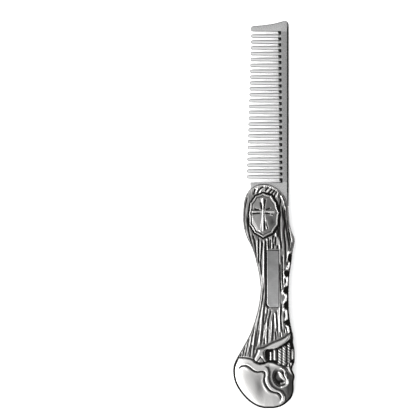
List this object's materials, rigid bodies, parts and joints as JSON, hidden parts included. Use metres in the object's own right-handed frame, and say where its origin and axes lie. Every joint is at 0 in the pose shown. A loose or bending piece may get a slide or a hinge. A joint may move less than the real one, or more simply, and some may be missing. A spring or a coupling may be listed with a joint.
{
  "type": "folding beard comb",
  "caption": "Folding metal comb: a toothed plate turns half a turn on a pivot into the slot of a cast, draped skull handle.",
  "frame": {"origin": "the pivot axis, on the plane of the rear crest's flat face that the comb lies on", "axes": "+Y from the pivot to the open comb's tip, +Z out of the front casting, +X towards the comb's spine"},
  "size_m": [0.0314, 0.1975, 0.0096],
  "materials": {
    "comb_steel": "satin",
    "antique_casting": "satin",
    "antique_badge": "satin",
    "satin_plate": "satin",
    "spacer_metal": "satin",
    "pivot_steel": "satin",
    "washer_brass": "satin",
    "screw_steel": "satin"
  },
  "bodies": {
    "handle": {"front_casting": "antique_casting", "rear_casting": "antique_casting", "front_crest": "antique_badge", "rear_crest": "antique_badge", "front_name_plate": "satin_plate", "rear_name_plate": "satin_plate", "back_spacer": "spacer_metal", "pivot_barrel": "pivot_steel", "pivot_screw": "pivot_steel", "front_washer": "washer_brass", "rear_washer": "washer_brass", "waist_screw": "screw_steel", "butt_screw": "screw_steel"},
    "comb": {"comb_plate": "comb_steel"}
  },
  "joints": [
    {"name": "fold", "type": "hinge", "parent": "handle", "child": "comb", "pos_m": [0, 0, 0.0048], "axis": [0, 0, 1], "range_deg": [0, 180]}
  ]
}
